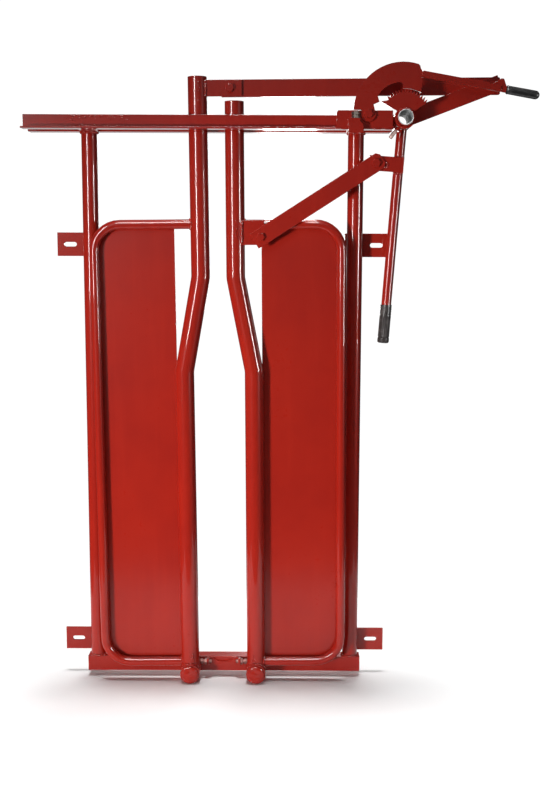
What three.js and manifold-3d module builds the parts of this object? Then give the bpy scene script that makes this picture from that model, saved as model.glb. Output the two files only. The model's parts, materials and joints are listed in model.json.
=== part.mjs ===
// Manual head gate for cattle: two swinging neck leaves in a welded frame, worked by one side lever.
// Millimetres, +Z up. X runs across the gate, +Y is the side that is bolted to the chute.
// Every dimension is taken from the plane of the leaves (y = 0); the whole gate is moved at the end
// so that the origin is at the middle of the base tube's underside.

import * as THREE from 'three';
import { mergeVertices } from 'three/addons/utils/BufferGeometryUtils.js';
import Module from 'manifold-3d';

const wasm = await Module();
wasm.setup();

// ---------------------------------------------------------------- driving dimensions

const WELD_GAP = 0.3; // pieces that are welded together meet with this gap
const FLAT = 6.35; // thickness of the flat bar
const LINK_WIDTH = 44.45;

const POST = { x: 354.5, y: 48, radius: 21.1, wall: 2.6 };
const BASE = { halfLength: 382, front: 29, depth: 38.1, height: 42, wall: 3 };
const RAIL = { left: -513, right: 443.4, top: 1523, leg: 38.1, thickness: 4.8, legBack: 26.9 };
const SPACER_X = 349; // flat spacers that hold the two rails apart, one over each post
const TAB = { inner: 329, outer: 450, height: 63.5, upperZ: 1190, lowerZ: 80 };
const TAB_SLOT = { x: 414.5, length: 34, width: 12 };

const HINGE = { x: 91.3, z: 12.5 };
const SLEEVE = { radius: 27, bore: 16.2, front: -32, back: 27 };
const PIN = { radius: 15.6, front: -35 };

// A leaf is drawn upright from its hinge axis; "in" is towards the middle of the gate.
const MAIN = { radius: 25, wall: 3.2, offset: 47, lowBend: 842, highBend: 1091, bendRadius: 70 };
const HOOP = { radius: 12.7, wall: 2.1, outer: 234.8, bottom: 27.1, top: 1231.3, cornerRadius: 70 };
const PANEL = { edge: 21.8, front: 13, thickness: 2.5 };
const LEFT_LEAF = { side: 1, top: 1609, tilt: -0.67 };
const RIGHT_LEAF = { side: -1, top: 1548, tilt: -0.42 };
const LEFT_LUG = { from: 56, to: 163, low: 1558, high: 1600, back: -6.35, bolt: [131.9, 1578.6] };
const RIGHT_LUG = { from: -40, to: 29.6, low: 1177.5, high: 1241.5, back: -13, bolt: [20.3, 1197.4] };

const HUB = { x: 472.2, z: 1513.4, radius: 21.1, bore: 17.8, front: -85, back: 72 };
const BEARING = { radius: 27, bore: 21.5, inner: 28, outer: 64.7 };
const SECTOR = { rootRadius: 60.5, tipRadius: 70, from: 34, to: 134, corner: 149, cornerRadius: 73, teeth: 15 };
const FRONT_PLANE = -73; // back face of the toothed sector and of the pawl plate
const CRANK = { radius: 245, angle: 20.9, width: 41 };
const HANDLE = { radius: 13.35, wall: 2.9, angle: -94.1, length: 580.6 };
const GRIP = { radius: 15.6, length: 100, ribs: 9 };
const HANDLE_PLATE = { radius: 130.25, angle: -121.88, width: 39, back: -13.65 };

const PAWL = { x: 377.7, z: 1521.3, arcX: 465, arcZ: 1524, outer: 126.5, inner: 77.5 };
const PAWL_ARM = { from: 512, to: 712, z: 1620.5, slope: -10, height: 16, depth: 14 };
const PAWL_GRIP = { radius: 11.6, length: 86 };

const BRACKET = { left: 297, right: 440.6, low: 1487, high: 1531, back: -65.4 };
const M12 = { shank: 6, head: 19, headHeight: 7.5, hole: 6.3 };

const PAINT = { color: 0x9c1f1b, roughness: 0.28, metalness: 0.1 };
const RUBBER = { color: 0x16181a, roughness: 0.65, metalness: 0 };
const STEEL = { color: 0x9a9a98, roughness: 0.4, metalness: 0.9 };
const DARK_STEEL = { color: 0x4a4644, roughness: 0.5, metalness: 0.8 };

// ---------------------------------------------------------------- making solids

const RAD = Math.PI / 180;

function solidOf(geometry) {
  const bare = geometry.clone();
  bare.deleteAttribute('normal');
  bare.deleteAttribute('uv');
  const merged = mergeVertices(bare, 1e-4);
  return new wasm.Manifold(new wasm.Mesh({
    numProp: 3,
    vertProperties: new Float32Array(merged.attributes.position.array),
    triVerts: new Uint32Array(merged.index.array),
  }));
}

function geometryOf(solid) {
  const mesh = solid.getMesh();
  const geometry = new THREE.BufferGeometry();
  geometry.setAttribute('position', new THREE.BufferAttribute(mesh.vertProperties, 3));
  geometry.setIndex(new THREE.BufferAttribute(mesh.triVerts, 1));
  geometry.computeVertexNormals();
  return geometry;
}

function cut(geometry, ...tools) {
  return geometryOf(tools.reduce((solid, tool) => solid.subtract(solidOf(tool)), solidOf(geometry)));
}

function join(geometry, ...others) {
  return geometryOf(others.reduce((solid, other) => solid.add(solidOf(other)), solidOf(geometry)));
}

// A closed outline from [x, z] points.
function outline(points) {
  return new THREE.Shape(points.map(([x, z]) => new THREE.Vector2(x, z)));
}

function circle(x, z, radius, sides = 24) {
  const points = [];
  for (let i = 0; i < sides; i += 1) {
    const turn = (2 * Math.PI * i) / sides;
    points.push([x + radius * Math.cos(turn), z + radius * Math.sin(turn)]);
  }
  return outline(points);
}

// Points along a circular arc, in degrees, from one angle to the other.
function arc(x, z, radius, from, to, steps) {
  const points = [];
  for (let i = 0; i <= steps; i += 1) {
    const turn = (from + ((to - from) * i) / steps) * RAD;
    points.push([x + radius * Math.cos(turn), z + radius * Math.sin(turn)]);
  }
  return points;
}

// A plate lying in the XZ plane: the outline is in x and z, the thickness runs forward (-Y) from back.
function plate(shape, back, thickness) {
  const geometry = new THREE.ExtrudeGeometry(shape, { depth: thickness, bevelEnabled: false });
  geometry.rotateX(Math.PI / 2);
  geometry.translate(0, back, 0);
  return geometry;
}

function rodAlongY(x, z, radius, front, back, sides = 24) {
  return plate(circle(x, z, radius, sides), back, back - front);
}

function pipeAlongY(x, z, radius, bore, front, back, sides = 32) {
  const shape = circle(x, z, radius, sides);
  shape.holes.push(circle(x, z, bore, sides));
  return plate(shape, back, back - front);
}

// A bar along X whose section is drawn in y and z.
function barAlongX(section, from, to) {
  const geometry = new THREE.ExtrudeGeometry(section, { depth: to - from, bevelEnabled: false });
  const basis = new THREE.Matrix4().makeBasis(
    new THREE.Vector3(0, 1, 0),
    new THREE.Vector3(0, 0, 1),
    new THREE.Vector3(1, 0, 0),
  );
  geometry.applyMatrix4(basis);
  geometry.translate(from, 0, 0);
  return geometry;
}

function barAlongZ(section, from, to) {
  const geometry = new THREE.ExtrudeGeometry(section, { depth: to - from, bevelEnabled: false });
  geometry.translate(0, 0, from);
  return geometry;
}

function box(x0, x1, y0, y1, z0, z1) {
  const geometry = new THREE.BoxGeometry(x1 - x0, y1 - y0, z1 - z0);
  geometry.translate((x0 + x1) / 2, (y0 + y1) / 2, (z0 + z1) / 2);
  return geometry;
}

// A path through corners in the XZ plane with a round bend at each inner corner. Its parameter
// steps from one station to the next, so straight runs cost one step and bends get the rest.
class BentPath extends THREE.Curve {
  constructor(corners, radius, bendSteps) {
    super();
    const points = corners.map(([x, z]) => new THREE.Vector3(x, 0, z));
    this.stations = [];
    const last = points.length - 1;
    const heading = (i) => points[i + 1].clone().sub(points[i]).normalize();
    this.stations.push({ point: points[0], tangent: heading(0) });
    for (let i = 1; i < last; i += 1) {
      const before = heading(i - 1);
      const after = heading(i);
      const turn = before.angleTo(after);
      const axis = before.clone().cross(after).normalize();
      const start = points[i].clone().addScaledVector(before, -radius * Math.tan(turn / 2));
      const toCentre = axis.clone().cross(before);
      const centre = start.clone().addScaledVector(toCentre, radius);
      for (let k = 0; k <= bendSteps; k += 1) {
        const angle = (turn * k) / bendSteps;
        const point = centre.clone().addScaledVector(toCentre.clone().applyAxisAngle(axis, angle), -radius);
        this.stations.push({ point, tangent: before.clone().applyAxisAngle(axis, angle) });
      }
    }
    this.stations.push({ point: points[last], tangent: heading(last - 1) });
  }

  get steps() {
    return this.stations.length - 1;
  }

  at(t, key) {
    const place = Math.min(Math.max(t, 0), 1) * this.steps;
    const index = Math.min(Math.floor(place + 1e-6), this.steps - 1);
    return this.stations[index][key].clone().lerp(this.stations[index + 1][key], place - index);
  }

  getPoint(t) {
    return this.at(t, 'point');
  }

  getPointAt(t) {
    return this.at(t, 'point');
  }

  getTangentAt(t) {
    return this.at(t, 'tangent').normalize();
  }
}

function bentBar(path, section) {
  return new THREE.ExtrudeGeometry(section, { steps: path.steps, extrudePath: path, bevelEnabled: false });
}

function ring(radius, bore, sides) {
  const shape = circle(0, 0, radius, sides);
  if (bore > 0) shape.holes.push(circle(0, 0, bore, sides));
  return shape;
}

// Hexagonal head or nut round a point, lying in the XZ plane.
function hexagon(x, z, acrossFlats) {
  return circle(x, z, acrossFlats / Math.sqrt(3), 6);
}

function hexBolt(x, z, headBack, shankBack, size = M12) {
  const head = plate(hexagon(x, z, size.head), headBack, size.headHeight);
  const shank = rodAlongY(x, z, size.shank, headBack - 1, shankBack, 16);
  return join(head, shank);
}

function hexNut(x, z, front, size = M12) {
  const shape = hexagon(x, z, size.head);
  shape.holes.push(circle(x, z, size.hole, 16));
  return plate(shape, front + size.headHeight + 2, size.headHeight + 2);
}

// A nut with the end of its bolt in it, standing on a plate and filling the plate's hole.
function nutWithStub(x, z, front, depthInHole) {
  const nut = plate(hexagon(x, z, M12.head), front + M12.headHeight + 2, M12.headHeight + 2);
  const stub = rodAlongY(x, z, M12.shank, front - depthInHole, front + M12.headHeight + 5, 16);
  return join(nut, stub);
}

// ---------------------------------------------------------------- the assembly

const gate = new THREE.Group();

function add(name, geometry, finish, parent = gate) {
  const mesh = new THREE.Mesh(geometry, new THREE.MeshStandardMaterial(finish));
  mesh.name = name;
  parent.add(mesh);
  return mesh;
}

// Frame: base tube, posts, the two rails that guide the leaves, and the mounting tabs.
function addFrame() {
  const { front, depth, height, wall, halfLength } = BASE;
  const back = front + depth;
  const baseSection = outline([[front, 0], [back, 0], [back, height], [front, height]]);
  baseSection.holes.push(outline([
    [front + wall, wall],
    [front + wall, height - wall],
    [back - wall, height - wall],
    [back - wall, wall],
  ]));
  add('base_tube', barAlongX(baseSection, -halfLength, halfLength), PAINT);

  const railBottom = RAIL.top - RAIL.leg;
  const postShape = ring(POST.radius, POST.radius - POST.wall, 32);
  for (const [name, side] of [['left_post', -1], ['right_post', 1]]) {
    const post = barAlongZ(postShape, height + WELD_GAP, railBottom - WELD_GAP);
    post.translate(side * POST.x, POST.y, 0);
    add(name, post, PAINT);
  }

  for (const [name, side] of [['front_rail', -1], ['rear_rail', 1]]) {
    const points = [
      [RAIL.legBack, RAIL.top],
      [RAIL.legBack, railBottom],
      [RAIL.legBack + RAIL.leg, railBottom],
      [RAIL.legBack + RAIL.leg, railBottom + RAIL.thickness],
      [RAIL.legBack + RAIL.thickness, railBottom + RAIL.thickness],
      [RAIL.legBack + RAIL.thickness, RAIL.top],
    ].map(([y, z]) => [side * y, z]);
    add(name, barAlongX(outline(points), RAIL.left, RAIL.right), PAINT);
  }

  const spacerHalf = RAIL.legBack - WELD_GAP;
  for (const [name, side] of [['left_spacer', -1], ['right_spacer', 1]]) {
    const x = side * SPACER_X;
    const half = LINK_WIDTH / 2;
    add(name, box(x - half, x + half, -spacerHalf, spacerHalf, railBottom, railBottom + FLAT), PAINT);
  }

  const tabBack = POST.y + POST.radius + WELD_GAP + FLAT;
  const tabs = [
    ['left_upper_tab', -1, TAB.upperZ],
    ['left_lower_tab', -1, TAB.lowerZ],
    ['right_upper_tab', 1, TAB.upperZ],
    ['right_lower_tab', 1, TAB.lowerZ],
  ];
  for (const [name, side, z] of tabs) {
    const half = TAB.height / 2;
    const shape = outline([
      [side * TAB.inner, z - half],
      [side * TAB.outer, z - half],
      [side * TAB.outer, z + half],
      [side * TAB.inner, z + half],
    ]);
    const reach = (TAB_SLOT.length - TAB_SLOT.width) / 2;
    const slot = [
      ...arc(side * TAB_SLOT.x + reach, z, TAB_SLOT.width / 2, -90, 90, 8),
      ...arc(side * TAB_SLOT.x - reach, z, TAB_SLOT.width / 2, 90, 270, 8),
    ];
    shape.holes.push(outline(slot));
    add(name, plate(shape, tabBack, FLAT), PAINT);
  }

  for (const [name, side] of [['left_pivot_pin', -1], ['right_pivot_pin', 1]]) {
    add(name, rodAlongY(side * HINGE.x, HINGE.z, PIN.radius, PIN.front, front - WELD_GAP, 32), PAINT);
  }
}

// Dished strap between the hinges with a stop screw at each end, for the shut leaves to meet.
function addClosingStop() {
  const ear = { inner: 41, outer: 47, low: 22, high: 41, front: 9 };
  const back = BASE.front - WELD_GAP;
  const screwZ = 31.5;
  const screwY = (ear.front + back) / 2;
  const dish = [[-ear.inner - 1, 37], [-18, 21], [18, 21], [ear.inner + 1, 37]];
  const section = outline([[-2.5, -8], [2.5, -8], [2.5, 8], [-2.5, 8]]);
  const strap = bentBar(new BentPath(dish, 40, 5), section);
  const box0 = new THREE.Box3().setFromBufferAttribute(strap.attributes.position);
  strap.translate(0, back - box0.max.y, 0);
  const ears = [-1, 1].map((side) => {
    const x0 = Math.min(side * ear.inner, side * ear.outer);
    return box(x0, x0 + ear.outer - ear.inner, ear.front, back, ear.low, ear.high);
  });
  const drill = barAlongX(circle(screwY, screwZ, 5.3, 16), -60, 60);
  add('closing_stop', cut(join(strap, ...ears), drill), PAINT);

  for (const [name, side] of [['left_stop_screw', -1], ['right_stop_screw', 1]]) {
    const nut = barAlongX(circle(screwY, screwZ, 9.2, 6), ear.outer + WELD_GAP, ear.outer + 6);
    const shank = barAlongX(circle(screwY, screwZ, 5, 16), 34, ear.outer + 12);
    const head = barAlongX(circle(screwY, screwZ, 7.4, 16), ear.outer + 11, ear.outer + 17.8);
    const screw = join(shank, nut, head);
    if (side < 0) screw.rotateZ(Math.PI).translate(0, 2 * screwY, 0);
    add(name, screw, STEEL);
  }
}

// Bracket in front of the rails, with the pawl's pivot bolt and the stop under the pawl's heel.
function addBracket() {
  const { left, right, low, high, back } = BRACKET;
  const face = outline([[left, low], [right, low], [right, high], [left + 4, high], [left, high - 6]]);
  face.holes.push(circle(PAWL.x, PAWL.z, M12.hole, 16));
  add('bracket_plate', plate(face, back, FLAT), PAINT);

  const gussetBack = -(RAIL.legBack + RAIL.thickness + WELD_GAP);
  const flangeTop = RAIL.top - RAIL.leg + RAIL.thickness;
  for (const [name, x] of [['bracket_gusset_left', left + 8], ['bracket_gusset_right', right - 14]]) {
    add(name, box(x, x + FLAT, back + WELD_GAP, gussetBack, flangeTop + WELD_GAP, RAIL.top - 2), PAINT);
  }

  const blockBack = back - FLAT - WELD_GAP;
  const screwX = 345;
  const screwY = blockBack - 10;
  const block = plate(outline([
    [327, 1473],
    [364, 1473],
    [364, 1495],
    [356, 1501],
    [356, 1510],
    [327, 1510],
  ]), blockBack, 20);
  const bore = barAlongZ(circle(0, 0, M12.hole, 16), 1465, 1515).translate(screwX, screwY, 0);
  add('stop_block', cut(block, bore), PAINT);
  const nutShape = hexagon(0, 0, M12.head);
  nutShape.holes.push(circle(0, 0, M12.hole, 16));
  const nut = barAlongZ(nutShape, 1510.3, 1517).translate(screwX, screwY, 0);
  add('lift_stop_nut', nut, DARK_STEEL);
  const head = barAlongZ(hexagon(0, 0, M12.head), 1519, 1526.5);
  const shank = barAlongZ(circle(0, 0, M12.shank, 16), 1478, 1520);
  add('lift_stop_screw', join(head, shank).translate(screwX, screwY, 0), DARK_STEEL);

  const pawlFront = FRONT_PLANE - FLAT;
  add('pawl_pivot_bolt', hexBolt(PAWL.x, PAWL.z, pawlFront - WELD_GAP, -50), PAINT);
  add('pawl_pivot_nut', hexNut(PAWL.x, PAWL.z, back + WELD_GAP), PAINT);
}

// The lever's shaft turns in one short bearing on the end of each rail.
function addBearings() {
  const { radius, bore, inner, outer } = BEARING;
  const direction = -126 * RAD;
  const alongBolt = (reach) => [HUB.x + reach * Math.cos(direction), HUB.z + reach * Math.sin(direction)];
  add('front_bearing', pipeAlongY(HUB.x, HUB.z, radius, bore, -outer, -inner), PAINT);
  add('rear_bearing', pipeAlongY(HUB.x, HUB.z, radius, bore, inner, outer), PAINT);

  const boltY = -(inner + outer) / 2;
  const place = (geometry, reach) => {
    const [x, z] = alongBolt(reach);
    return geometry.rotateY(90 * RAD - direction + Math.PI).translate(x, boltY, z);
  };
  const nutShape = hexagon(0, 0, 16);
  nutShape.holes.push(circle(0, 0, 5.3, 16));
  const nut = barAlongZ(nutShape, 0, 8);
  add('bearing_nut', place(nut, radius + WELD_GAP + 8.5), PAINT);
  const bolt = barAlongZ(circle(0, 0, 5, 16), 0, 33);
  add('bearing_screw', place(bolt, radius + WELD_GAP + 34), STEEL);
}

// One leaf, drawn upright round its own hinge axis and then tilted as it hangs.
function addLeaf(prefix, leaf, lug) {
  const { side, top, tilt } = leaf;
  const group = new THREE.Group();
  group.position.set(-side * HINGE.x, 0, HINGE.z);
  group.rotation.y = tilt * RAD;
  gate.add(group);

  const route = new BentPath([
    [0, 0],
    [0, MAIN.lowBend],
    [side * MAIN.offset, MAIN.highBend],
    [side * MAIN.offset, top],
  ], MAIN.bendRadius, 5);
  const sleeveCut = rodAlongY(0, 0, SLEEVE.radius + WELD_GAP, -40, 40, 32);
  const tube = bentBar(route, ring(MAIN.radius, MAIN.radius - MAIN.wall, 32));
  add(`${prefix}_main_tube`, cut(tube, sleeveCut), PAINT, group);
  add(`${prefix}_sleeve`, pipeAlongY(0, 0, SLEEVE.radius, SLEEVE.bore, SLEEVE.front, SLEEVE.back), PAINT, group);

  const clearOfTube = bentBar(route, ring(MAIN.radius + WELD_GAP, 0, 32));
  const outer = -side * HOOP.outer;
  const hoopRoute = new BentPath([
    [side * MAIN.offset, HOOP.top],
    [outer, HOOP.top],
    [outer, HOOP.bottom],
    [0, HOOP.bottom],
  ], HOOP.cornerRadius, 8);
  const hoop = bentBar(hoopRoute, ring(HOOP.radius, HOOP.radius - HOOP.wall, 20));
  add(`${prefix}_hoop`, cut(hoop, clearOfTube, sleeveCut), PAINT, group);

  const { edge, front, thickness } = PANEL;
  const r = HOOP.cornerRadius;
  const corner = (z, from, to) => arc(outer + side * r, z, r, from, to, 8);
  const [lowFrom, lowTo] = side > 0 ? [270, 180] : [-90, 0];
  const [highFrom, highTo] = side > 0 ? [180, 90] : [0, 90];
  const sheet = outline([
    [-side * edge, HOOP.bottom],
    ...corner(HOOP.bottom + r, lowFrom, lowTo),
    ...corner(HOOP.top - r, highFrom, highTo),
    [-side * edge, HOOP.top],
  ]);
  add(`${prefix}_panel`, plate(sheet, front + thickness, thickness), PAINT, group);

  const lugShape = outline([
    [lug.from, lug.low],
    [lug.to, lug.low],
    [lug.to, lug.high],
    [lug.from, lug.high],
  ]);
  lugShape.holes.push(circle(lug.bolt[0], lug.bolt[1], M12.hole, 16));
  add(`${prefix}_lug`, cut(plate(lugShape, lug.back, FLAT), clearOfTube), PAINT, group);
  return group;
}

// World position of a point given on an upright leaf.
function onLeaf(leaf, [x, z]) {
  const turn = leaf.tilt * RAD;
  return [
    -leaf.side * HINGE.x + x * Math.cos(turn) + z * Math.sin(turn),
    HINGE.z - x * Math.sin(turn) + z * Math.cos(turn),
  ];
}

// A flat bar between two pivot points, square at both ends, with a hole at each.
function linkBar(from, to, width, overhang, back, corner = 3) {
  const angle = Math.atan2(to[1] - from[1], to[0] - from[0]);
  const length = Math.hypot(to[0] - from[0], to[1] - from[1]);
  const half = width / 2;
  const shape = outline([
    [-overhang, -half],
    [length + overhang - corner, -half],
    [length + overhang, -half + corner],
    [length + overhang, half - corner],
    [length + overhang - corner, half],
    [-overhang, half],
  ]);
  shape.holes.push(circle(0, 0, M12.hole, 16), circle(length, 0, M12.hole, 16));
  const bar = plate(shape, 0, FLAT);
  bar.rotateY(-angle);
  bar.translate(from[0], back, from[1]);
  return bar;
}

function aroundHub(radius, degrees) {
  return [HUB.x + radius * Math.cos(degrees * RAD), HUB.z + radius * Math.sin(degrees * RAD)];
}

// Lever: shaft, toothed sector, crank and handle, all welded together.
function addLever() {
  const shaftClear = rodAlongY(HUB.x, HUB.z, HUB.radius + WELD_GAP, -100, 100, 32);
  add('hub_shaft', pipeAlongY(HUB.x, HUB.z, HUB.radius, HUB.bore, HUB.front, HUB.back), PAINT);
  add('shaft_collar', pipeAlongY(HUB.x, HUB.z, 26, HUB.radius + WELD_GAP, 65.3, 71.5), PAINT);

  const points = [];
  for (let i = 0; i < SECTOR.teeth; i += 1) {
    const pitch = (SECTOR.to - SECTOR.from) / SECTOR.teeth;
    const start = SECTOR.from + i * pitch;
    points.push(aroundHub(SECTOR.rootRadius, start), aroundHub(SECTOR.tipRadius, start + pitch * 0.75));
    points.push(aroundHub(SECTOR.tipRadius - 1, start + pitch * 0.85));
  }
  points.push(aroundHub(SECTOR.rootRadius + 1, SECTOR.to + 1), aroundHub(SECTOR.rootRadius + 4, SECTOR.to + 6));
  points.push(aroundHub(SECTOR.cornerRadius, SECTOR.corner - 1.5), aroundHub(SECTOR.cornerRadius, SECTOR.corner));
  points.push(aroundHub(24, 143), [HUB.x, HUB.z]);
  const sector = cut(plate(outline(points), FRONT_PLANE, FLAT), shaftClear);
  add('toothed_sector', sector, PAINT);

  const crankBack = -6.35;
  const crankEnd = aroundHub(CRANK.radius, CRANK.angle);
  const crankShape = outline([
    [0, -CRANK.width / 2],
    [CRANK.radius + 22, -CRANK.width / 2],
    [CRANK.radius + 22, CRANK.width / 2],
    [0, CRANK.width / 2],
  ]);
  crankShape.holes.push(circle(CRANK.radius, 0, M12.hole, 16));
  const crank = plate(crankShape, crankBack, FLAT).rotateY(-CRANK.angle * RAD).translate(HUB.x, 0, HUB.z);
  add('crank_arm', cut(crank, shaftClear), PAINT);
  add('crank_bolt', hexBolt(crankEnd[0], crankEnd[1], crankBack - FLAT - WELD_GAP, crankBack - 0.2), PAINT);

  const pipe = barAlongZ(ring(HANDLE.radius, HANDLE.radius - HANDLE.wall, 24), 0, HANDLE.length);
  const handleTurn = (90 - HANDLE.angle) * RAD;
  pipe.rotateY(handleTurn).translate(HUB.x, 0, HUB.z);
  add('handle_pipe', cut(pipe, shaftClear), PAINT);

  const profile = [[HANDLE.radius + WELD_GAP, 0]];
  const pitch = GRIP.length / GRIP.ribs;
  for (let i = 0; i < GRIP.ribs; i += 1) {
    profile.push([GRIP.radius, i * pitch + 0.6], [GRIP.radius, (i + 0.7) * pitch], [GRIP.radius - 1, (i + 0.8) * pitch]);
  }
  profile.push([GRIP.radius, GRIP.length], [0, GRIP.length + 3], [0, GRIP.length]);
  profile.push([HANDLE.radius + WELD_GAP, GRIP.length]);
  profile.push([HANDLE.radius + WELD_GAP, 0]);
  const grip = lathe(profile, 24);
  const gripStart = HANDLE.length - GRIP.length - WELD_GAP + 0.6;
  grip.translate(0, 0, gripStart).rotateY(handleTurn).translate(HUB.x, 0, HUB.z);
  add('handle_grip', grip, RUBBER);

  const hole = aroundHub(HANDLE_PLATE.radius, HANDLE_PLATE.angle);
  const onPipe = aroundHub(HANDLE_PLATE.radius * Math.cos((HANDLE_PLATE.angle - HANDLE.angle) * RAD), HANDLE.angle);
  const reach = Math.hypot(onPipe[0] - hole[0], onPipe[1] - hole[1]);
  const plateShape = outline([
    [-18, -HANDLE_PLATE.width / 2],
    [reach + 12, -HANDLE_PLATE.width / 2],
    [reach + 12, HANDLE_PLATE.width / 2],
    [-18, HANDLE_PLATE.width / 2],
  ]);
  plateShape.holes.push(circle(0, 0, M12.hole, 16));
  const plateAngle = Math.atan2(onPipe[1] - hole[1], onPipe[0] - hole[0]);
  const lug = plate(plateShape, 0, FLAT).rotateY(-plateAngle).translate(hole[0], HANDLE_PLATE.back, hole[1]);
  add('handle_plate', lug, PAINT);
  add('handle_plate_nut', nutWithStub(hole[0], hole[1], HANDLE_PLATE.back + WELD_GAP, FLAT), PAINT);
}

// Turned profile [radius, height] about Z; it starts and ends on the same point.
function lathe(profile, sides) {
  const geometry = new THREE.LatheGeometry(profile.map(([r, z]) => new THREE.Vector2(r, z)), sides);
  return geometry.rotateX(Math.PI / 2);
}

function addLinks() {
  const leftBolt = onLeaf(LEFT_LEAF, LEFT_LUG.bolt);
  const crankEnd = aroundHub(CRANK.radius, CRANK.angle);
  const topBack = LEFT_LUG.back + WELD_GAP + FLAT;
  add('top_link', linkBar(leftBolt, crankEnd, LINK_WIDTH, 22, topBack), PAINT);
  add('top_link_nut', nutWithStub(crankEnd[0], crankEnd[1], topBack + WELD_GAP, FLAT), PAINT);
  add('left_lug_bolt', hexBolt(leftBolt[0], leftBolt[1], LEFT_LUG.back - FLAT - WELD_GAP, 14), PAINT);
  add('left_lug_nut', hexNut(leftBolt[0], leftBolt[1], topBack + WELD_GAP), PAINT);

  const rightBolt = onLeaf(RIGHT_LEAF, RIGHT_LUG.bolt);
  const handleHole = aroundHub(HANDLE_PLATE.radius, HANDLE_PLATE.angle);
  const sideBack = HANDLE_PLATE.back - FLAT - WELD_GAP;
  add('side_link', linkBar(rightBolt, handleHole, LINK_WIDTH, 20, sideBack, 9), PAINT);
  const front = sideBack - FLAT - WELD_GAP;
  add('side_link_bolt', hexBolt(handleHole[0], handleHole[1], front, sideBack - 0.2), PAINT);
  add('right_lug_bolt', hexBolt(rightBolt[0], rightBolt[1], front, 8), PAINT);
  add('right_lug_nut', hexNut(rightBolt[0], rightBolt[1], RIGHT_LUG.back + WELD_GAP), PAINT);
}

// Pawl: a curved plate over the toothed sector, with the arm and grip that lift it.
function addPawl() {
  const { x, z, arcX, arcZ, outer, inner } = PAWL;
  const tip = SECTOR.tipRadius + 1;
  const shape = outline([
    ...arc(x, z, 19, 185, 355, 10),
    [390, 1545],
    aroundHub(77.5, 150.5),
    [400.5, 1566],
    ...arc(arcX, arcZ, inner, 143, 97, 8),
    [463, 1596],
    ...arc(HUB.x, HUB.z, tip, 97, 58, 8),
    [511.5, 1590],
    [511.5, 1629.5],
    [508.5, 1633],
    [506.5, 1641],
    [503, 1644],
    ...arc(arcX, arcZ, outer, 72, 174, 16),
    [340.5, 1531.5],
    [358, 1531.5],
  ]);
  shape.holes.push(circle(x, z, M12.hole, 16));
  add('pawl_plate', plate(shape, FRONT_PLANE, FLAT), PAINT);

  const slope = PAWL_ARM.slope * RAD;
  const along = (s, up) => [
    PAWL_ARM.from + s * Math.cos(slope) - up * Math.sin(slope),
    PAWL_ARM.z + s * Math.sin(slope) + up * Math.cos(slope),
  ];
  const length = (PAWL_ARM.to - PAWL_ARM.from) / Math.cos(slope);
  const half = PAWL_ARM.height / 2;
  const arm = plate(outline([
    along(0, -half),
    along(length, -half),
    along(length, half),
    along(0, half),
  ]), FRONT_PLANE + 3.5, PAWL_ARM.depth);
  const plateSolid = plate(shape, FRONT_PLANE + WELD_GAP, FLAT + 2 * WELD_GAP);
  add('pawl_arm', cut(arm, plateSolid), PAINT);

  const mid = FRONT_PLANE + 3.5 - PAWL_ARM.depth / 2;
  const guard = plate(outline([
    along(length - 24, half + WELD_GAP),
    along(length + WELD_GAP, half + WELD_GAP),
    along(length + WELD_GAP, -half),
    along(length + 14, -half),
    along(length + 14, half - 2),
    along(length + 3, half + 17),
    along(length - 3, half + 17),
  ]), mid + FLAT / 2, FLAT);
  add('guard_tab', guard, PAINT);

  const [gx, gz] = along(length + 14 + WELD_GAP, 0);
  const radius = PAWL_GRIP.radius;
  const profile = [[0, 0], [radius - 2, 0], [radius, 3]];
  profile.push([radius, PAWL_GRIP.length - 4], [radius - 4, PAWL_GRIP.length], [0, PAWL_GRIP.length]);
  const grip = lathe(profile, 20).rotateY(90 * RAD - slope).translate(gx, mid, gz);
  add('pawl_grip', grip, RUBBER);
}

addFrame();
addClosingStop();
addBracket();
addBearings();
addLeaf('left', LEFT_LEAF, LEFT_LUG);
addLeaf('right', RIGHT_LEAF, RIGHT_LUG);
addLever();
addLinks();
addPawl();
gate.position.y = -(BASE.front + BASE.depth / 2);

export default gate;
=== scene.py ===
"""Manual cattle head gate: paint, welds, fasteners, rubber grips and the studio they stand in."""

import json
import math
import random

import bmesh
import bpy
from mathutils import Matrix, Vector, noise


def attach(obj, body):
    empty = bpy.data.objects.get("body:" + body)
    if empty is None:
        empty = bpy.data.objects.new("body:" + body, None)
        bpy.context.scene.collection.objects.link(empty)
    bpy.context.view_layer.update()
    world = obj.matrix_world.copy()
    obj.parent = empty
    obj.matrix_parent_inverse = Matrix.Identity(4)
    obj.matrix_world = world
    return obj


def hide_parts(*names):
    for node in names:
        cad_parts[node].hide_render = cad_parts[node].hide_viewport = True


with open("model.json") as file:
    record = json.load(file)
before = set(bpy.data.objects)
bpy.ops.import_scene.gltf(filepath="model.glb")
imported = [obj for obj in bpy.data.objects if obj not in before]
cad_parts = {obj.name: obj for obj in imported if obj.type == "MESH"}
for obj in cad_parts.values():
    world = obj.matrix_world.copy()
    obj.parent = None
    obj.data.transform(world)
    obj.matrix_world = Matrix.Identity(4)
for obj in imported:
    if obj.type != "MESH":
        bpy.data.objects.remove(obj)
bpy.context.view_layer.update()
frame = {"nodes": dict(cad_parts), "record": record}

MM = 0.001
LEAF_PLANE = -48.05  # y of the plane the leaves swing in
BODY_OF = {
    node: body
    for body, nodes in frame["record"]["behaviour"]["bodies"].items()
    for node in nodes
}


def at(x, y, z):
    """A point given in millimetres, with y counted from the plane of the leaves."""
    return Vector((x, y + LEAF_PLANE, z)) * MM


# ------------------------------------------------------------------ camera

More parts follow.
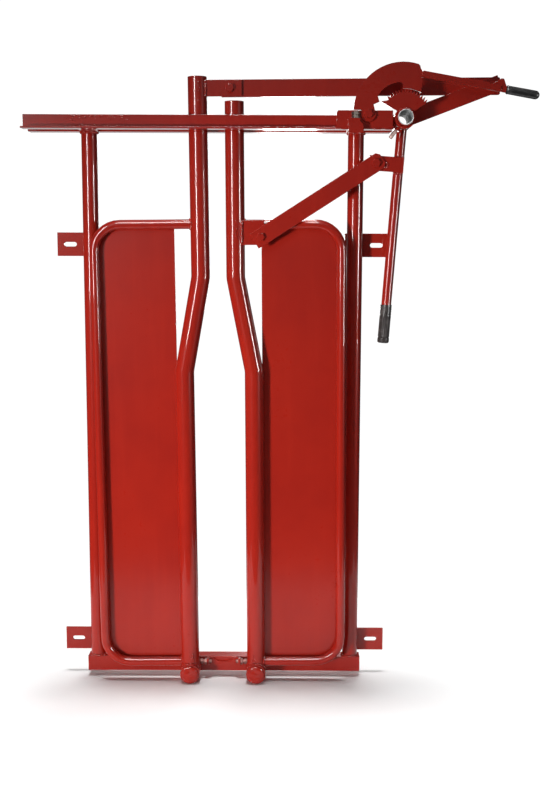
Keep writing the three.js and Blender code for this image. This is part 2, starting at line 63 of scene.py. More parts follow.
def set_camera():
    """Camera in front of the gate, a little above its middle, looking slightly down."""
    place = at(159, -3018, 1198)
    pitch = math.radians(-7.97)
    yaw = math.radians(-0.07)
    roll = math.radians(0.22)
    ahead = Vector((math.sin(yaw) * math.cos(pitch), math.cos(yaw) * math.cos(pitch), math.sin(pitch)))
    level = Vector((math.cos(yaw), -math.sin(yaw), 0.0))
    upright = level.cross(ahead)
    right = level * math.cos(roll) + upright * math.sin(roll)
    up = upright * math.cos(roll) - level * math.sin(roll)
    data = bpy.data.cameras.new("camera")
    data.sensor_width = 36.0
    data.lens = 50.77
    data.clip_end = 60.0
    camera = bpy.data.objects.new("camera", data)
    bpy.context.scene.collection.objects.link(camera)
    turn = Matrix((right, up, -ahead)).transposed().to_4x4()
    camera.matrix_world = Matrix.Translation(place) @ turn
    bpy.context.scene.camera = camera


set_camera()


# ------------------------------------------------------------------ finishes

class Value:
    """A shader socket that can be used in arithmetic."""

    def __init__(self, finish, socket):
        self.finish = finish
        self.socket = socket

    def _do(self, operation, first, second, clamp=False):
        settings = {"operation": operation, "use_clamp": clamp}
        return self.finish.node("ShaderNodeMath", settings, {0: first, 1: second})

    def __add__(self, other):
        return self._do("ADD", self, other)

    def __radd__(self, other):
        return self._do("ADD", other, self)

    def __rsub__(self, other):
        return self._do("SUBTRACT", other, self)

    def __mul__(self, other):
        return self._do("MULTIPLY", self, other)

    def __rmul__(self, other):
        return self._do("MULTIPLY", other, self)

    def clamped(self):
        return self._do("ADD", self, 0.0, clamp=True)


class Finish:
    """A material and the nodes that feed it."""

    def __init__(self, name):
        self.material = bpy.data.materials.new(name)
        self.material.use_nodes = True
        self.tree = self.material.node_tree
        self.tree.nodes.clear()
        self.place = self.node("ShaderNodeTexCoord", output="Object")

    def node(self, kind, settings=None, inputs=None, output=0):
        """Adds a node: its settings first, then the values or links of its sockets."""
        made = self.tree.nodes.new(kind)
        for key, setting in (settings or {}).items():
            if key == "stops":
                self.set_stops(made.color_ramp, setting)
            else:
                setattr(made, key, setting)
        for key, value in (inputs or {}).items():
            socket = made.inputs[key]
            if isinstance(value, Value):
                self.tree.links.new(value.socket, socket)
            else:
                socket.default_value = value
        return Value(self, made.outputs[output])

    def set_stops(self, ramp, stops):
        while len(ramp.elements) < len(stops):
            ramp.elements.new(0.5)
        for element, (position, tone) in zip(ramp.elements, stops):
            element.position = position
            element.color = (tone, tone, tone, 1.0)

    def stretched(self, x, y, z):
        settings = {"operation": "MULTIPLY"}
        return self.node("ShaderNodeVectorMath", settings, {0: self.place, 1: (x, y, z)})

    def noise(self, scale, detail, roughness, where=None):
        inputs = {"Vector": where or self.place, "Scale": scale, "Detail": detail, "Roughness": roughness}
        return self.node("ShaderNodeTexNoise", {}, inputs, "Fac")

    def ramp(self, value, *stops):
        return self.node("ShaderNodeValToRGB", {"stops": stops}, {"Fac": value})

    def blend(self, share, first, second):
        inputs = {0: share, 6: first, 7: second}
        return self.node("ShaderNodeMix", {"data_type": "RGBA"}, inputs, 2)

    def bump(self, height, distance, strength=1.0, over=None):
        inputs = {"Height": height, "Distance": distance, "Strength": strength}
        if over is not None:
            inputs["Normal"] = over
        return self.node("ShaderNodeBump", {}, inputs)

    def surface(self, **inputs):
        named = {key.replace("_", " "): value for key, value in inputs.items()}
        shader = self.node("ShaderNodeBsdfPrincipled", {}, named)
        out = self.tree.nodes.new("ShaderNodeOutputMaterial")
        self.tree.links.new(shader.socket, out.inputs["Surface"])
        return self.material


def colour(red, green, blue):
    """A colour given as 0-255 screen values."""
    def linear(value):
        value /= 255.0
        return value / 12.92 if value <= 0.04045 else ((value + 0.055) / 1.055) ** 2.4
    return (linear(red), linear(green), linear(blue), 1.0)


RED = colour(164, 33, 20)
DEEP_RED = colour(152, 28, 18)
BRIGHT_RED = colour(174, 38, 24)
PRIMER = colour(118, 24, 18)


def red_enamel(name, waviness=0.0, peel=0.5, gloss=0.6, haze=0.05):
    """Gloss enamel sprayed on steel: uneven film, orange peel and pinholes that show the primer."""
    paint = Finish(name)
    cloudy = paint.noise(5.0, 3.0, 0.55)
    streaky = paint.noise(1.0, 3.0, 0.6, paint.stretched(26.0, 26.0, 2.2))
    fine = paint.noise(90.0, 2.0, 0.5)
    base = paint.blend(paint.ramp(cloudy, (0.32, 0.0), (0.72, 1.0)), RED, DEEP_RED)
    base = paint.blend(paint.ramp(streaky, (0.5, 0.0), (0.85, 0.55)), base, BRIGHT_RED)
    specks = paint.ramp(paint.noise(300.0, 1.0, 0.4), (0.79, 0.0), (0.83, 0.5))
    base = paint.blend(specks, base, PRIMER)
    rough = 0.20 + 0.10 * fine + 0.10 * cloudy + 0.25 * specks
    peeled = paint.bump(paint.noise(260.0, 1.0, 0.4), 0.00005, peel)
    if waviness:
        rolled = paint.noise(7.0, 1.0, 0.4)
        peeled = paint.bump(rolled, waviness, over=peeled)
    return paint.surface(
        Base_Color=base,
        Roughness=rough.clamped(),
        Normal=peeled,
        Coat_Weight=(gloss - 0.3 * specks).clamped(),
        Coat_Roughness=haze,
        Specular_IOR_Level=0.1,
    )


def bare_steel(name, tone, rough, spin=False, metal=0.95):
    """Zinc-grey steel with drawn lines and darker stains; with `spin` the lines are fine along Y too."""
    steel = Finish(name)
    lines = steel.noise(1.0, 4.0, 0.7, steel.stretched(40.0, 900.0 if spin else 40.0, 900.0))
    stains = steel.ramp(steel.noise(55.0, 4.0, 0.65), (0.45, 0.0), (0.7, 1.0))
    dark = tuple(channel * 0.35 for channel in tone[:3]) + (1.0,)
    base = steel.blend(stains * 0.6, tone, dark)
    return steel.surface(
        Base_Color=base,
        Metallic=(metal - 0.35 * stains).clamped(),
        Roughness=(rough + 0.16 * lines + 0.2 * stains).clamped(),
        Normal=steel.bump(lines, 0.00006),
    )


def black_rubber(name, tone, rubbed):
    """Moulded black rubber with a fine grain and greyer rubbed patches."""
    rubber = Finish(name)
    grain = rubber.noise(900.0, 2.0, 0.6)
    worn = rubber.ramp(rubber.noise(38.0, 4.0, 0.6), (0.5, 0.0), (0.8, 1.0))
    base = rubber.blend(worn * 0.6, tone, rubbed)
    return rubber.surface(
        Base_Color=base,
        Roughness=(0.27 + 0.2 * worn + 0.1 * grain).clamped(),
        Normal=rubber.bump(grain, 0.00008, 0.5),
        Specular_IOR_Level=0.5,
    )


ENAMEL = red_enamel("red_enamel")
SHEET_ENAMEL = red_enamel("red_enamel_sheet", waviness=0.0008, peel=0.3, gloss=0.5, haze=0.2)
WELD_ENAMEL = red_enamel("red_enamel_weld", peel=1.0)
RUBBER = black_rubber("black_rubber", colour(24, 22, 23), colour(54, 50, 49))
RUBBED_RUBBER = black_rubber("rubbed_black_rubber", colour(56, 50, 49), colour(112, 102, 98))
ZINC = bare_steel("zinc_steel", colour(182, 156, 148), 0.5, metal=0.6)
SPRAYED_STEEL = bare_steel("oversprayed_steel", colour(150, 104, 98), 0.5, metal=0.7)
BORE_STEEL = bare_steel("bore_steel", colour(176, 178, 178), 0.4, spin=True, metal=0.5)
DARK_STEEL = bare_steel("dark_steel", colour(96, 88, 82), 0.38)


# ------------------------------------------------------------------ making pieces

def smooth_by_angle(mesh, degrees):
    for polygon in mesh.polygons:
        polygon.use_smooth = True
    mesh.set_sharp_from_angle(angle=math.radians(degrees))


def link(name, mesh, material):
    piece = bpy.data.objects.new(name, mesh)
    bpy.context.scene.collection.objects.link(piece)
    mesh.materials.append(material)
    return piece


def riding_piece(name, shape, sharp_angle, material, body):
    """Turns a finished bmesh into a piece that rides on a body."""
    mesh = bpy.data.meshes.new(name)
    shape.to_mesh(mesh)
    shape.free()
    smooth_by_angle(mesh, sharp_angle)
    piece = link(name, mesh, material)
    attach(piece, body)
    return piece


def circle(count):
    """The angles of `count` points spread evenly round a circle."""
    return [2 * math.pi * k / count for k in range(count)]


def join_rings(shape, first, second):
    """A band of faces between two rings that have the same number of points."""
    for k in range(len(first)):
        after = (k + 1) % len(first)
        shape.faces.new((first[k], first[after], second[after], second[k]))


def refined(node, material, edge, slot="red_paint"):
    """Stands for a CAD node with its own copy of the solid, its edges rounded by `edge` millimetres."""
    shape = bmesh.new()
    shape.from_mesh(frame["nodes"][node].data)
    bmesh.ops.remove_doubles(shape, verts=shape.verts, dist=1e-6)
    bmesh.ops.dissolve_limit(
        shape,
        angle_limit=math.radians(0.6),
        verts=shape.verts,
        edges=shape.edges,
    )
    corner = math.radians(38)
    sharp = [e for e in shape.edges if len(e.link_faces) == 2 and e.calc_face_angle(0.0) > corner]
    bmesh.ops.bevel(
        shape,
        geom=sharp,
        offset=edge * MM,
        segments=2,
        profile=0.6,
        affect="EDGES",
        clamp_overlap=True,
    )
    piece = riding_piece(node + "_finished", shape, 32, material, BODY_OF[node])
    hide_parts(node)
    flats = piece.modifiers.new("flat_faces", "WEIGHTED_NORMAL")
    flats.keep_sharp = True
    flats.weight = 90


def point_along(points, lengths, reach):
    """The point of a polyline at a given distance from its start; `lengths` holds each point's distance."""
    reach = min(max(reach, 0.0), lengths[-1])
    i = next((k for k in range(len(points) - 2) if reach <= lengths[k + 1]), len(points) - 2)
    span = lengths[i + 1] - lengths[i] or 1.0
    return points[i].lerp(points[i + 1], (reach - lengths[i]) / span)


def in_step(ring, following):
    """The following ring, renumbered to start nearest to this one and run the same way round."""
    sides = len(ring)
    shift = min(range(sides), key=lambda k: (following[k].co - ring[0].co).length)
    back = (following[(shift + 1) % sides].co - ring[1].co).length
    forward = (following[(shift - 1) % sides].co - ring[1].co).length
    way = -1 if forward < back else 1
    return [following[(shift + way * k) % sides] for k in range(sides)]


BEAD_SIDES = 8
RIPPLE = (0.80, 1.0, 0.97, 0.88)  # how a bead swells and narrows over each ripple
STEP_ASIDE = 1e-4


def bead(name, path, radius, body, closed=False, seed=0):
    """A run of weld, its radius in millimetres: overlapping ripples of painted metal along a path."""
    rng = random.Random(seed)
    radius *= MM
    points = [Vector(p) for p in path]
    if closed:
        points.append(points[0].copy())
    lengths = [0.0]
    for a, b in zip(points, points[1:]):
        lengths.append(lengths[-1] + (b - a).length)
    total = lengths[-1]
    rings = max(6, int(total / (radius * 0.75) * len(RIPPLE)))
    shape = bmesh.new()
    loops = []
    for i in range(rings + (0 if closed else 1)):
        s = total * i / rings
        if i % len(RIPPLE) == 0:
            swell = rng.uniform(0.86, 1.14)
        ahead, behind = s + STEP_ASIDE, s - STEP_ASIDE
        if closed:
            ahead, behind = ahead % total, behind % total
        direction = point_along(points, lengths, ahead) - point_along(points, lengths, behind)
        direction.normalize()
        side = direction.orthogonal().normalized()
        other = direction.cross(side).normalized()
        reach = radius * RIPPLE[i % len(RIPPLE)] * swell
        if not closed:
            reach *= min(1.0, 0.45 + min(s, total - s) / (radius * 1.6))
        wander = Vector((rng.uniform(-1, 1), rng.uniform(-1, 1), rng.uniform(-1, 1))) * radius * 0.06
        middle = point_along(points, lengths, s) + wander
        loops.append([
            shape.verts.new(middle + (side * math.cos(turn) + other * math.sin(turn)) * reach)
            for turn in circle(BEAD_SIDES)
        ])
    pairs = list(zip(loops, loops[1:]))
    if closed:
        pairs.append((loops[-1], loops[0]))
    for ring, following in pairs:
        join_rings(shape, ring, in_step(ring, following))
    if not closed:
        shape.faces.new(loops[0])
        shape.faces.new(loops[-1])
    bmesh.ops.recalc_face_normals(shape, faces=shape.faces)
    riding_piece(name, shape, 180, WELD_ENAMEL, body)


def line(first, last, steps):
    """Points from first to last, each moved a little aside, as a hand-held torch wavers."""
    rng = random.Random(7)
    points = []
    for i in range(steps + 1):
        wobble = Vector((rng.uniform(-1, 1), rng.uniform(-1, 1), rng.uniform(-1, 1))) * 0.0004
        points.append(first.lerp(last, i / steps) + wobble)
    return points


def straight_bead(name, first, last, steps, radius, body, seed):
    bead(name, line(first, last, steps), radius, body, seed=seed)


def turned(start, axis, up, stations, sides, ripples=0):
    """A bmesh swept round an axis through (distance, radius, flute depth) stations, closed at both ends."""
    across = axis.cross(up).normalized()
    shape = bmesh.new()
    loops = []
    for distance, radius, flute in stations:
        loop = []
        for turn in circle(sides):
            reach = radius - flute * (0.5 - 0.5 * math.cos(turn * ripples)) ** 0.7
            offset = (across * math.cos(turn) + up * math.sin(turn)) * reach
            loop.append(shape.verts.new(start + (axis * distance + offset) * MM))
        loops.append(loop)
    for first, second in zip(loops, loops[1:]):
        join_rings(shape, first, second)
    shape.faces.new(loops[0])
    shape.faces.new(loops[-1])
    bmesh.ops.recalc_face_normals(shape, faces=shape.faces)
    return shape


# ------------------------------------------------------------------ the gate's own pieces

GRIPS = ("handle_grip", "pawl_grip")  # made anew by handle_grip and pawl_grip
OWN_FINISH = {
    "left_panel": (SHEET_ENAMEL, 0.5),
    "right_panel": (SHEET_ENAMEL, 0.5),
    "lift_stop_nut": (DARK_STEEL, 0.5, "dark_steel"),
    "lift_stop_screw": (DARK_STEEL, 0.5, "dark_steel"),
    "left_stop_screw": (SPRAYED_STEEL, 0.8, "bare_steel"),
    "right_stop_screw": (SPRAYED_STEEL, 0.8, "bare_steel"),
    "bearing_screw": (ZINC, 1.6, "bare_steel"),
}
for node in frame["nodes"]:
    if node not in GRIPS:
        refined(node, *OWN_FINISH.get(node, (ENAMEL, 0.7)))

HUB = (472.2, 1513.4)  # x and z of the shaft's axis
HUB_FRONT = -85.25
HANDLE_SLOPE = math.radians(-94.1)
HANDLE_GRIP_START = 481.2  # from the shaft's axis, along the handle
PAWL_SLOPE = math.radians(-10)
PAWL_ARM_ROOT = (512.0, -76.3, 1620.5)
PAWL_GRIP_START = 217.1  # from the arm's root, along the arm
BACKWARDS = Vector((0.0, 1.0, 0.0))


def sloping(slope):
    """The direction that lies in the plane of the gate at an angle from +X."""
    return Vector((math.cos(slope), 0.0, math.sin(slope)))


def handle_grip():
    """A tight cuff with six rings, a fluted barrel and a round flange at the lower end."""
    axis = sloping(HANDLE_SLOPE)
    stations = [(0.0, 14.4, 0.0), (0.7, 15.5, 0.0), (3.4, 15.5, 0.0)]
    for rib in range(6):
        low = 4.2 + rib * 4.6
        stations += [(low, 14.3, 0.0), (low + 1.5, 14.3, 0.0), (low + 2.3, 15.5, 0.0), (low + 3.8, 15.5, 0.0)]
    stations += [(33.0, 15.2, 0.0), (35.0, 15.1, 0.8), (84.0, 15.2, 0.8), (86.5, 14.6, 0.0)]
    stations += [(88.0, 14.3, 0.0), (89.2, 15.5, 0.0), (98.2, 15.5, 0.0), (100.6, 14.6, 0.0)]
    stations += [(102.2, 12.0, 0.0), (102.8, 5.0, 0.0)]
    start = at(HUB[0], 0.0, HUB[1]) + axis * HANDLE_GRIP_START * MM
    shape = turned(start, axis, BACKWARDS, stations, 120, ripples=12)
    grip = riding_piece("handle_grip_moulded", shape, 40, RUBBED_RUBBER, "lever")
    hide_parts("handle_grip")


def pawl_grip():
    """A plain sleeve with a raised lip and a round end."""
    axis = sloping(PAWL_SLOPE)
    stations = [(0.2, 9.6, 0.0), (1.4, 11.0, 0.0), (3.4, 11.4, 0.0), (4.4, 10.7, 0.0), (6.0, 10.7, 0.0)]
    stations += [(40.0, 10.9, 0.0), (72.0, 11.0, 0.0)]
    for i in range(1, 9):
        bend = math.radians(90 * i / 8)
        stations.append((74.8 + 11.0 * math.sin(bend), max(11.0 * math.cos(bend), 0.6), 0.0))
    start = at(*PAWL_ARM_ROOT) + axis * PAWL_GRIP_START * MM
    shape = turned(start, axis, BACKWARDS, stations, 48)
    grip = riding_piece("pawl_grip_moulded", shape, 40, RUBBER, "pawl")
    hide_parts("pawl_grip")


def hub_liner():
    """Bright turned steel inside the hub and on its front rim."""
    start = at(HUB[0], HUB_FRONT, HUB[1])
    section = [(0.5, 19.9), (0.15, 19.8), (0.0, 19.5), (0.0, 18.2), (0.3, 17.75), (0.8, 17.6)]
    section += [(156.6, 17.6), (156.6, 17.7), (1.0, 17.75), (0.5, 18.2)]
    shape = bmesh.new()
    loops = []
    for distance, radius in section:
        offsets = [Vector((radius * math.cos(t), distance, radius * math.sin(t))) for t in circle(64)]
        loops.append([shape.verts.new(start + offset * MM) for offset in offsets])
    for first, second in zip(loops, loops[1:] + loops[:1]):
        join_rings(shape, first, second)
    bmesh.ops.recalc_face_normals(shape, faces=shape.faces)
    riding_piece("hub_liner", shape, 40, BORE_STEEL, "lever")


handle_grip()
pawl_grip()
hub_liner()


# ------------------------------------------------------------------ welds

POST_X = 354.5
POST_Y = 48.0
POST_WELD_RADIUS = 22.3
TAB_HEIGHTS = (("upper", 1190.0), ("lower", 80.0))
SPACER_X = 349
RAIL_BOTTOM = 1484.9
HINGE = (91.3, 12.5)  # x and z of a hinge pin's axis
LEAF_TILT = {1: math.radians(-0.67), -1: math.radians(-0.42)}
SLEEVE_RADIUS = 27.0
MAIN_RADIUS = 25.0
HOOP_RADIUS = 12.7
HOOP_ENDS = (("low", 27.1), ("top", 1231.3))
UPPER_TUBE_X = 47  # how far the tube's bent upper half stands from its foot
SHEET_BACK = 12.6
SECTOR_ARC = (36, 144)  # degrees of the hub that the sector's welds run round
CRANK_ARC = (20.9 - 62, 20.9 + 62)


def leaf_point(side, x, y, z):
    """A point of a leaf, given upright from its hinge; side is 1 for the left leaf and -1 for the right."""
    tilt = LEAF_TILT[side]
    across = -side * HINGE[0] + x * math.cos(tilt) + z * math.sin(tilt)
    return at(across, y, HINGE[1] - x * math.sin(tilt) + z * math.cos(tilt))


def hub_arc(radius, arc, y):
    """Fifteen points round the hub, from one angle to another."""
    start, end = arc
    turns = [math.radians(start + (end - start) * i / 14) for i in range(15)]
    return [at(HUB[0] + radius * math.cos(t), y, HUB[1] + radius * math.sin(t)) for t in turns]


def round_post(x, z):
    radius = POST_WELD_RADIUS
    return [at(x + radius * math.cos(turn), POST_Y + radius * math.sin(turn), z) for turn in circle(28)]


def frame_welds():
    for name, side in (("left", -1), ("right", 1)):
        x = side * POST_X
        bead(f"{name}_post_foot_weld", round_post(x, 43.2), 3.4, "frame", True, seed=11 + side)
        bead(f"{name}_post_head_weld", round_post(x, RAIL_BOTTOM - 1.4), 3.2, "frame", True, seed=21 + side)
        edge = SPACER_X * side
        for tag, y in (("front", -27.186), ("rear", 27.186)):
            low, high = (at(edge + half, y, RAIL_BOTTOM + 7.6) for half in (-20, 20))
            straight_bead(f"{name}_spacer_{tag}_weld", low, high, 10, 3.2, "frame", 31 + side)
        low, high = (at(edge + half, -33.4, RAIL_BOTTOM + 6.2) for half in (-19, 19))
        straight_bead(f"{name}_rail_root_weld", low, high, 10, 3.6, "frame", 41 + side)
        for tag, z in TAB_HEIGHTS:
            # a run along each side of the post where the tab lies across its back
            for run, reach in (("inner", -1), ("outer", 1)):
                low, high = (at(x + reach * side * 9.5, 67.6, z + half) for half in (-29, 29))
                seed = 51 + side + reach
                straight_bead(f"{name}_{tag}_tab_{run}_weld", low, high, 12, 3.0, "frame", seed)


def hoop_end_path(side, tag, height):
    """Where one end of the hoop meets the main tube, and at the foot the hinge sleeve too."""
    centre = side * UPPER_TUBE_X if tag == "top" else 0.0
    path = []
    for turn in circle(22):
        y = (HOOP_RADIUS + 1.0) * math.cos(turn)
        z = (HOOP_RADIUS + 1.0) * math.sin(turn)
        reach = math.sqrt(MAIN_RADIUS ** 2 - y * y)
        if tag == "low":
            under = SLEEVE_RADIUS ** 2 - (height + z) ** 2
            reach = max(reach, math.sqrt(max(under, 0.0)))
        path.append(leaf_point(side, centre - side * (reach + 0.4), y, height + z))
    return path


def sheet_stitches(name, side, tag, x, heights, half, first_seed):
    """Short runs that hold the sheet to the back of the hoop or of the main tube."""
    for i, z in enumerate(heights):
        low, high = (leaf_point(side, -side * x, SHEET_BACK, z + end) for end in (-half, half))
        straight_bead(f"{name}_sheet_{tag}_{i}", low, high, 5, 2.2, f"{name}_leaf", first_seed + i)


def leaf_welds():
    for name, side in (("left", 1), ("right", -1)):
        body = f"{name}_leaf"
        saddle = []
        for turn in circle(30):
            x = MAIN_RADIUS * 1.03 * math.cos(turn)
            y = MAIN_RADIUS * 1.03 * math.sin(turn)
            saddle.append(leaf_point(side, x, y, math.sqrt((SLEEVE_RADIUS + 0.6) ** 2 - x * x)))
        bead(f"{name}_foot_weld", saddle, 3.0, body, True, seed=61 + side)
        for tag, height in HOOP_ENDS:
            bead(f"{name}_hoop_{tag}_weld", hoop_end_path(side, tag, height), 2.6, body, True, seed=71 + side)
        sheet_stitches(name, side, "stitch", 226.0, [150 + 165 * i for i in range(7)], 17, 81)
        sheet_stitches(name, side, "inner_stitch", 23.4, [120 + 235 * i for i in range(4)], 15, 95)


def lug_welds():
    """Runs down both faces of each lug where it meets its tube."""
    for tag, y, reach in (("front", -13.2, 21.8), ("back", -5.9, 24.4)):
        low, high = (leaf_point(1, UPPER_TUBE_X + reach, y, z) for z in (1559, 1599))
        straight_bead(f"left_lug_{tag}_weld", low, high, 9, 3.4, "left_leaf", 101)
    for tag, y, reach in (("front", -19.8, 17.2), ("back", -12.6, 21.9)):
        low, high = (leaf_point(-1, -UPPER_TUBE_X + reach, y, z) for z in (1178.5, 1240.5))
        straight_bead(f"right_lug_{tag}_weld", low, high, 13, 4.4, "right_leaf", 111)


def pin_welds():
    """The lumpy dome of weld over the end of each hinge pin, and a fine run round its root at the back."""
    height = 6.7
    dome = [(0.0, 22.8, 0.0), (1.2, 23.4, 0.0), (2.4, 22.9, 0.0), (3.8, 20.8, 0.0), (4.9, 17.0, 0.0)]
    dome += [(5.7, 12.5, 0.0), (6.3, 8.0, 0.0), (6.6, 4.0, 0.0), (height, 1.0, 0.0)]
    root = 16.4
    for name, side in (("left", -1), ("right", 1)):
        x = side * HINGE[0]
        start = at(x, -33.4, HINGE[1])
        shape = turned(start, -BACKWARDS, Vector((0.0, 0.0, 1.0)), dome, 40)
        cap = riding_piece(f"{name}_pin_weld", shape, 40, WELD_ENAMEL, "frame")
        for vertex in cap.data.vertices:
            lump = noise.noise(vertex.co * 95.0 + Vector((side * 3.0, 0.0, 0.0)))
            lump += 0.5 * noise.noise(vertex.co * 230.0)
            proud = (start.y - vertex.co.y) / (height * MM)
            vertex.co.y -= lump * 1.9 * MM * min(1.0, max(0.0, proud))
            vertex.co.x += lump * 0.8 * MM
        points = [at(x + root * math.cos(t), 28.0, HINGE[1] + root * math.sin(t)) for t in circle(26)]
        bead(f"{name}_pin_root_weld", points, 1.0, "frame", True, seed=141)


def on_handle(down, aside):
    """x and z of a point that lies `down` mm along the handle from the hub and `aside` from its middle."""
    x = HUB[0] + down * math.cos(HANDLE_SLOPE) - aside * math.sin(HANDLE_SLOPE)
    return x, HUB[1] + down * math.sin(HANDLE_SLOPE) + aside * math.cos(HANDLE_SLOPE)


def lever_welds():
    bead("sector_weld", hub_arc(22.2, SECTOR_ARC, -79.9), 2.0, "lever", seed=151)
    bead("sector_back_weld", hub_arc(22.2, SECTOR_ARC, -72.6), 2.4, "lever", seed=152)
    for tag, y in (("front", -13.3), ("back", -5.8)):
        bead(f"crank_{tag}_weld", hub_arc(22.4, CRANK_ARC, y), 3.0, "lever", seed=153)
    ring = []
    for turn in circle(24):
        aside = 14.0 * math.sin(turn)
        x, z = on_handle(math.sqrt(21.6 ** 2 - aside * aside), aside)
        ring.append(at(x, 14.0 * math.cos(turn), z))
    bead("handle_root_weld", ring, 3.2, "lever", True, seed=154)
    # plug weld where the handle shows through the small plate
    plug = [at(428.5 + 5.4 * math.cos(t), -20.2, 1397 + 5.4 * math.sin(t)) for t in circle(16)]
    bead("handle_plate_plug_weld", plug, 2.6, "lever", True, seed=156)
    # the small plate across the front of the handle
    for tag, down in (("top", 95.5), ("bottom", 136.5)):
        x, z = on_handle(down, 0.0)
        first, last = at(x - 12.5, -13.8, z - 0.5), at(x + 12.5, -13.8, z + 0.5)
        straight_bead(f"handle_plate_{tag}_weld", first, last, 7, 3.2, "lever", 155)


def bracket_welds():
    for i, x in enumerate((318.0, 352.0, 402.0, 430.0)):
        first, last = (at(x + half, -65.6, 1486.2) for half in (-10, 10))
        straight_bead(f"bracket_weld_{i}", first, last, 5, 2.6, "frame", 161 + i)
    for tag, x, top in (("left", 326.6, 1508), ("right", 364.4, 1494)):
        straight_bead(f"stop_block_{tag}_weld", at(x, -72.6, 1489), at(x, -72.6, top), 6, 2.4, "frame", 171)
    for tag, side in (("front", -1), ("rear", 1)):
        low, high = (at(444.6, side * 32.2, z) for z in (1493, 1520))
        straight_bead(f"{tag}_bearing_weld", low, high, 8, 3.6, "frame", 181)
        near, far = (at(x, side * y, 1491.5) for x, y in ((445.6, 34), (447.5, 60)))
        straight_bead(f"{tag}_bearing_root_weld", near, far, 8, 3.0, "frame", 183)


def pawl_welds():
    first, last = at(512.4, -79.9, 1627.0), at(512.4, -79.9, 1613.5)
    straight_bead("pawl_arm_weld", first, last, 5, 2.2, "pawl", 191)
    first, last = at(513.2, -72.4, 1613.0), at(513.0, -72.4, 1627.0)
    straight_bead("pawl_arm_back_weld", first, last, 5, 2.2, "pawl", 192)


def spatter(name, body, seed, *spots):
    """Beads of metal thrown off while welding and painted over, each a small squashed ball."""
    rng = random.Random(seed)
    shape = bmesh.new()
    for first, last, count, scatter in spots:
        for _ in range(count):
            where = first.lerp(last, rng.random())
            where += Vector((rng.uniform(-1, 1), 0.0, rng.uniform(-1, 1))) * scatter * MM
            size = rng.choice((0.9, 1.2, 1.6, 2.2)) * MM
            squash = Matrix.Diagonal((rng.uniform(0.9, 1.5), 0.9, rng.uniform(0.8, 1.1), 1.0))
            place = Matrix.Translation(where) @ squash
            bmesh.ops.create_icosphere(shape, subdivisions=2, radius=size, matrix=place)
    riding_piece(name, shape, 180, WELD_ENAMEL, body)


def weld_spatter():
    """Spatter on the face of the front rail and on the fronts of both main tubes."""
    rail = -31.9
    spatter(
        "left_rail_spatter", "frame", 201,
        (at(-395, rail, 1519.4), at(-230, rail, 1519.4), 80, 1.3),
        (at(-400, rail, 1512.0), at(-240, rail, 1512.0), 26, 6.0),
        (at(-380, rail, 1494.0), at(-325, rail, 1494.0), 26, 3.0),
        (at(-310, rail, 1492.5), at(-215, rail, 1492.5), 24, 1.2),
    )
    spatter(
        "left_tube_spatter", "left_leaf", 202,
        (leaf_point(1, 52, -24.6, 1545), leaf_point(1, 52, -24.6, 1600), 20, 2.5),
        (leaf_point(1, 1, -25.0, 60), leaf_point(1, 8, -24.6, 34), 14, 6.0),
    )
    spatter(
        "right_tube_spatter", "right_leaf", 203,
        (leaf_point(-1, -44, -25.0, 1245), leaf_point(-1, -44, -25.0, 1180), 16, 3.0),
        (leaf_point(-1, -1, -25.0, 60), leaf_point(-1, -8, -24.6, 34), 14, 6.0),
    )


frame_welds()
leaf_welds()
lug_welds()
pin_welds()
lever_welds()
bracket_welds()
pawl_welds()
weld_spatter()


# ------------------------------------------------------------------ floor and lights

def add_floor():
    """Pale studio paper under the hinge sleeves, which reach lowest."""
    mesh = bpy.data.meshes.new("floor")
    level = -0.0150
    left, right, near, far = -1.1, 1.4, -0.97, 0.7
    corners = [(left, near, level), (right, near, level), (right, far, level), (left, far, level)]
    mesh.from_pydata(corners, [], [(0, 1, 2, 3)])
    pale = Finish("studio_floor").surface(
        Base_Color=(0.93, 0.93, 0.93, 1.0),
        Roughness=0.9,
        Specular_IOR_Level=0.0,
    )
    link("floor", mesh, pale)


def placed(name, data, where, towards):
    light = bpy.data.objects.new(name, data)
    bpy.context.scene.collection.objects.link(light)
    place = Vector(where)
    aim = (Vector(towards) - place).to_track_quat("-Z", "Y")
    light.matrix_world = Matrix.Translation(place) @ aim.to_matrix().to_4x4()
    return light


def soft_light(name, where, towards, width, height, power, mirrored):
    """A rectangular lamp: `mirrored` ones show up as streaks in the paint only, the others only light it."""
    data = bpy.data.lights.new(name, "AREA")
    data.shape = "RECTANGLE"
    data.size = width
    data.size_y = height
    data.energy = power
    lamp = placed(name, data, where, towards)
    lamp.visible_diffuse = not mirrored
    lamp.visible_glossy = mirrored


def pool_of_light(name, where, towards, degrees, radius, power):
    """A wide spot that is strongest in its middle and fades out towards the rim."""
    data = bpy.data.lights.new(name, "SPOT")
    data.spot_size = math.radians(degrees)
    data.spot_blend = 1.0
    data.shadow_soft_size = radius
    data.energy = power
    placed(name, data, where, towards).visible_glossy = False


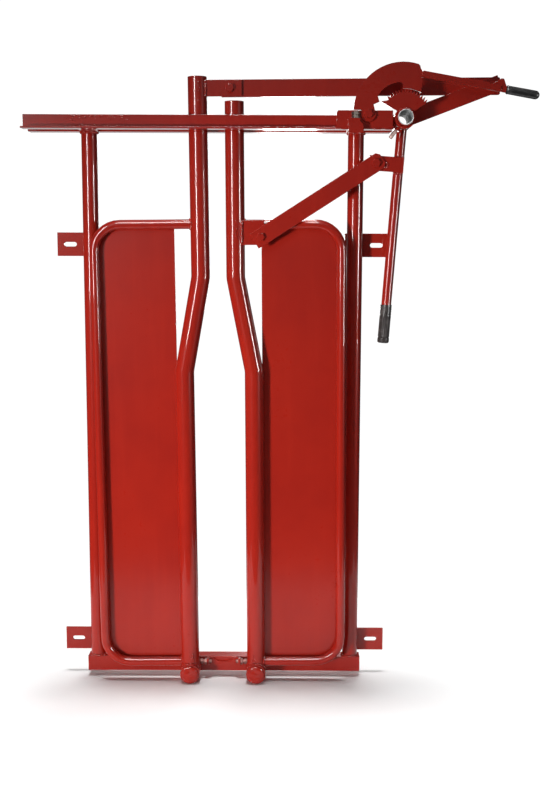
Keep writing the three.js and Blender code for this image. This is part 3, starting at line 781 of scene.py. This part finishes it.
def overhead_sun(strength, spread):
    data = bpy.data.lights.new("overhead", "SUN")
    data.energy = strength
    data.angle = math.radians(spread)
    placed("overhead", data, (-0.02, 0.09, 3.0), (0.0, 0.0, 0.0))


def studio_world(seen, cast):
    """White behind the gate, and a dimmer, plain room for what the paint reflects."""
    white = (1.0, 1.0, 1.0, 1.0)
    world = bpy.data.worlds.new("studio")
    bpy.context.scene.world = world
    world.use_nodes = True
    tree = world.node_tree
    room = tree.nodes["Background"]
    backdrop = tree.nodes.new("ShaderNodeBackground")
    for shader, strength in ((room, cast), (backdrop, seen)):
        shader.inputs["Color"].default_value = white
        shader.inputs["Strength"].default_value = strength
    rays = tree.nodes.new("ShaderNodeLightPath")
    choose = tree.nodes.new("ShaderNodeMixShader")
    tree.links.new(rays.outputs["Is Camera Ray"], choose.inputs[0])
    tree.links.new(room.outputs[0], choose.inputs[1])
    tree.links.new(backdrop.outputs[0], choose.inputs[2])
    tree.links.new(choose.outputs[0], tree.nodes["World Output"].inputs[0])


add_floor()
studio_world(seen=1.05, cast=0.06)
bpy.context.scene.view_settings.view_transform = "Standard"
overhead_sun(2.95, 12.0)
soft_light("left_strip", (-1.7, -2.75, 1.85), (0.0, 0.0, 1.85), 0.34, 1.9, 120, mirrored=True)
soft_light("right_strip", (2.75, -1.5, 1.15), (0.1, 0.0, 1.15), 0.35, 0.95, 62, mirrored=True)
soft_light("top_strip", (-0.2, -2.3, 3.3), (0.0, 0.0, 0.2), 1.6, 1.0, 140, mirrored=True)
soft_light("back_card", (-0.3, 6.0, 0.9), (-0.3, 0.0, 0.9), 3.6, 0.7, 7, mirrored=True)
soft_light("front_fill", (-0.5, -3.4, 2.6), (0.0, 0.0, 0.9), 1.6, 1.2, 11, mirrored=False)
pool_of_light("left_pool", (-3.1, -3.9, 0.3), (0.1, 0.0, 0.72), degrees=29, radius=0.36, power=1080)
soft_light("rear_fill", (0.9, 3.4, 1.7), (0.0, 0.0, 1.1), 2.0, 1.6, 60, mirrored=False)
soft_light("rear_strip", (0.2, 3.4, 1.6), (0.1, 0.0, 1.6), 0.3, 1.8, 22, mirrored=True)
